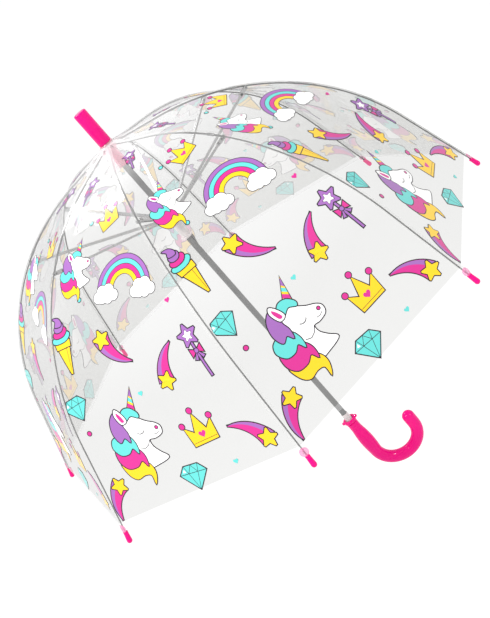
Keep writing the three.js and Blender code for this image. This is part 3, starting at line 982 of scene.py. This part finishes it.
def rib_tip(rib):
    """The pink end of a rib, swelling to a round nose."""
    shape = [(2.2, 0.0), (2.75, 0.3), (2.85, 1.0), (2.8, 3.0), (3.0, 7.0), (TIP_RADIUS, 11.5)]
    dome = [(TIP_RADIUS * math.cos(a), 12.0 + TIP_RADIUS * math.sin(a)) for a in
            (math.radians(d) for d in (0, 18, 36, 54, 70, 84))]
    profile = [(r * MM, d * MM) for r, d in shape + dome]
    r0, z0, slope = rib_station(TIP_START)
    base, ahead = in_plane(rib, r0, z0), in_plane(rib, math.cos(slope), -math.sin(slope))
    path = [base + ahead * d for _, d in profile]
    obj = tube(f"tip_{rib}", path, [r for r, _ in profile], 20, PINK_PLASTIC, rib_side(rib))
    sharpen(obj, 50)
    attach(obj, f"rib_{rib}_lower")
    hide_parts(f"rib_{rib}_tip")


def tip_pocket(rib):
    """The clear pink disc at the film's corner, where the rib enters its tip."""
    radius, thick = 5.1 * MM, 0.35 * MM
    r0, z0 = beside_rib(POCKET_STATION, FILM_OFFSET + 0.45 * MM)
    slope = rib_station(POCKET_STATION)[2]
    centre, ahead = in_plane(rib, r0, z0), in_plane(rib, math.cos(slope), -math.sin(slope))
    side_axis = rib_side(rib)
    up = in_plane(rib, math.sin(slope), math.cos(slope))
    rings = [(0.0, thick), (0.8, thick), (0.95, thick * 0.8), (1.0, 0.0), (0.95, -thick * 0.6),
             (0.8, -thick * 0.6)]
    sides = 28
    points, faces = [], []
    for k in range(sides):
        angle = 2 * math.pi * k / sides
        flat = math.cos(angle) * ahead + math.sin(angle) * side_axis
        drop = abs(math.sin(angle))
        for share, height in rings:
            lift = height - share * radius * drop * math.tan(PITCH / 2) * math.sin(slope)
            points.append(centre + flat * share * radius + up * lift)
    count = len(rings)
    for k in range(sides):
        a, b = k * count, ((k + 1) % sides) * count
        faces += [(a + i, a + (i + 1) % count, b + (i + 1) % count, b + i) for i in range(count)]
    obj = piece(f"tip_pocket_{rib}", points, faces, [POCKET_PINK])
    clean(obj)
    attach(obj, f"rib_{rib}_lower")


for rib_number in range(1, RIB_COUNT + 1):
    rib_rod(rib_number)
    rib_joint(rib_number)
    stretcher(rib_number)
    rib_tip(rib_number)
    tip_pocket(rib_number)


# ---- Ferrule, crown, runner and handle ----

def ferrule():
    low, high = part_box("ferrule")
    radius = (high[0] - low[0]) / 2
    bore, bore_top = SHAFT_BORE * MM, low[2] + 38 * MM
    profile = [(0.0, bore_top), (bore, bore_top), (bore, low[2]), (radius - 0.5 * MM, low[2]),
               (radius, low[2] + 0.5 * MM), (radius, high[2] - 2.2 * MM)]
    profile += [(radius - 2 * MM * (1 - math.cos(a)), high[2] - 2 * MM * (1 - math.sin(a)))
                for a in (math.radians(d) for d in (20, 40, 60, 80))]
    profile += [(radius - 2.2 * MM, high[2]), (0.0, high[2])]
    obj = turned("ferrule_cap", profile, 64, PINK_PLASTIC)
    sharpen(obj, 60)
    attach(obj, "shaft")
    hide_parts("ferrule")


def handle_path():
    low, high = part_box("handle_crook")
    tube_radius = HANDLE_RADIUS * MM
    crook = (high[0] - tube_radius) / 2
    bend_z = low[2] + tube_radius + crook
    path, radii = [], []
    top = high[2]
    straight = top - bend_z
    neck = HANDLE_NECK_LENGTH * MM
    count = 60
    for i in range(count + 1):
        drop = straight * i / count
        t = min(max((drop - neck) / (straight - neck), 0), 1)
        radius = (HANDLE_NECK_RADIUS * (1 - t) + HANDLE_RADIUS * t + 1.6 * math.sin(math.pi * t)) * MM
        for groove in (4, 8, 12):
            gap = (drop / MM - groove) / 0.8
            radius -= 0.5 * MM * math.exp(-gap * gap)
        if drop < 0.8 * MM:
            radius -= 0.5 * MM
        path.append(Vector((0, 0, top - drop)))
        radii.append(radius)
    for i in range(1, 61):
        angle = math.pi * i / 60
        path.append(Vector((crook * (1 - math.cos(angle)), 0, bend_z - crook * math.sin(angle))))
        radii.append(tube_radius)
    end, tip_z = high[0] - tube_radius, bend_z + HOOK_END_LENGTH * MM
    for rise in (3, 6, 9, HOOK_END_LENGTH):
        path.append(Vector((end, 0, bend_z + rise * MM)))
        radii.append(tube_radius)
    for degrees in range(10, 90, 10):
        angle = math.radians(degrees)
        path.append(Vector((end, 0, tip_z + tube_radius * math.sin(angle))))
        radii.append(tube_radius * math.cos(angle))
    return path, radii


def handle():
    path, radii = handle_path()
    obj = tube("handle_hook", path, radii, 40, PINK_PLASTIC)
    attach(obj, "shaft")
    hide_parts("handle_crook")


def collar():
    low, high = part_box("handle_collar")
    bottom, top = low[2], high[2]
    shape = [(SHAFT_BORE, bottom), (7.5, bottom), (8.2, bottom + 0.3 * MM), (9.2, bottom + 1.7 * MM),
             (9.5, bottom + 2.2 * MM), (9.5, top - 0.9 * MM), (9.2, top - 0.3 * MM),
             (8.6, top), (6.4, top), (5.9, top - 0.3 * MM), (5.6, top - 1.0 * MM),
             (5.5, top - 3 * MM), (SHAFT_BORE, top - 3 * MM)]
    obj = turned("handle_ring", [(r * MM, z) for r, z in shape], 64, PINK_PLASTIC)
    sharpen(obj, 60)
    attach(obj, "shaft")
    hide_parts("handle_collar")
    for name, side in (("handle_lug_near", 1), ("handle_lug_far", -1)):
        path, radii = [], []
        for degrees in range(-80, 90, 20):
            angle = math.radians(degrees)
            path.append(Vector((side * 9.8 * MM, 0, top - 2.2 * MM + 1.8 * MM * math.sin(angle))))
            radii.append(1.2 * MM + 1.2 * MM * math.cos(angle))
        lug = tube(name, path, radii, 24, PINK_PLASTIC)
        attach(lug, "shaft")


def crown_skirt():
    """The clear pink socket under the film, flaring a little to its open end."""
    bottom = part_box("crown_notch")[0][2]
    shape = [(SHAFT_BORE, 0), (6.2, 0), (6.5, 0.5), (6.5, 12), (6.8, 21), (7.6, 23.5), (10.8, 24.6),
             (11.3, 25.2), (11.3, 27.0), (9.0, 27.1), (9.0, 28.9), (11.3, 28.9), (11.3, 29.6),
             (SHAFT_BORE, 29.9)]
    obj = turned("crown_socket", [(r * MM, bottom + z * MM) for r, z in shape], 64, CLEAR_PINK)
    sharpen(obj, 50)
    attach(obj, "shaft")
    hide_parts("crown_notch")


ferrule()
handle()
collar()
crown_skirt()

for node, material in (
    ("shaft_tube", STEEL), ("crown_wire", DARK_STEEL), ("runner_wire", DARK_STEEL),
    ("top_catch", STEEL), ("bottom_catch", STEEL), ("crown_washer", CLEAR_PINK),
    ("runner", CLEAR_WHITE), ("handle_bush", CLEAR_WHITE),
):
    frame["nodes"][node].data.materials.clear()
    frame["nodes"][node].data.materials.append(material)


# ---- Stage, light and camera ----

def floor():
    """A pale dish so wide that it looks flat from above the canopy."""
    mesh = bpy.data.meshes.new("floor")
    sides, reach, low, rim = 64, 300.0, -2.5, 8.0
    points = [(0, 0, low)] + [
        (reach * math.cos(2 * math.pi * k / sides), reach * math.sin(2 * math.pi * k / sides), rim)
        for k in range(sides)]
    mesh.from_pydata(points, [], [(0, k + 1, (k + 1) % sides + 1) for k in range(sides)])
    obj = bpy.data.objects.new("floor", mesh)
    bpy.context.collection.objects.link(obj)
    material, _, shader = new_material("floor")
    shader.inputs["Base Color"].default_value = (0.92, 0.92, 0.92, 1)
    shader.inputs["Roughness"].default_value = 0.9
    mesh.materials.append(material)


def lamp(name, place, target, size, power):
    light = bpy.data.lights.new(name, "AREA")
    light.shape = "RECTANGLE"
    light.size, light.size_y = size
    light.energy = power
    obj = bpy.data.objects.new(name, light)
    obj.location = place
    obj.rotation_euler = (Vector(target) - Vector(place)).to_track_quat("-Z", "Y").to_euler()
    bpy.context.collection.objects.link(obj)


def sun():
    """The soft light of a bright room, kept out of mirrors: its wide disc would whiten the film."""
    light = bpy.data.lights.new("sun", "SUN")
    light.energy = 1.3
    light.angle = math.radians(18)
    obj = bpy.data.objects.new("sun", light)
    obj.visible_glossy = False
    obj.rotation_euler = Vector((0.75, 0.25, -1.0)).to_track_quat("-Z", "Y").to_euler()
    bpy.context.collection.objects.link(obj)


def world():
    sky = bpy.data.worlds.new("studio")
    bpy.context.scene.world = sky
    sky.use_nodes = True
    sky.node_tree.nodes["Background"].inputs["Color"].default_value = (1, 1, 1, 1)
    sky.node_tree.nodes["Background"].inputs["Strength"].default_value = 0.80


def camera():
    """Held just above the canopy's level, looking down a little, and rolled so that the shaft leans."""
    place = Vector((0.1946, -1.1627, 0.7491))
    forward = Vector((-0.158, 0.912, -0.379)).normalized()
    right = Vector((0.781, -0.120, -0.614))
    right = (right - right.dot(forward) * forward).normalized()
    up = right.cross(forward)
    data = bpy.data.cameras.new("camera")
    data.sensor_fit = "VERTICAL"
    data.sensor_height = 36
    data.lens = 57.0
    obj = bpy.data.objects.new("camera", data)
    turn = Matrix((right, up, -forward)).transposed().to_4x4()
    obj.matrix_world = Matrix.Translation(place) @ turn
    bpy.context.collection.objects.link(obj)
    bpy.context.scene.camera = obj


floor()
world()
sun()
camera()
lamp("key", (-0.9, -1.3, 2.0), (0, 0, 0.3), (0.16, 0.16), 24)
lamp("crown glare", (-0.75, 1.45, 2.35), (0, 0, 0.5), (0.9, 0.5), 16)
lamp("side", (2.0, -1.2, 1.4), (0, 0, 0.3), (0.10, 0.35), 14)
bpy.context.scene.view_settings.view_transform = "Standard"
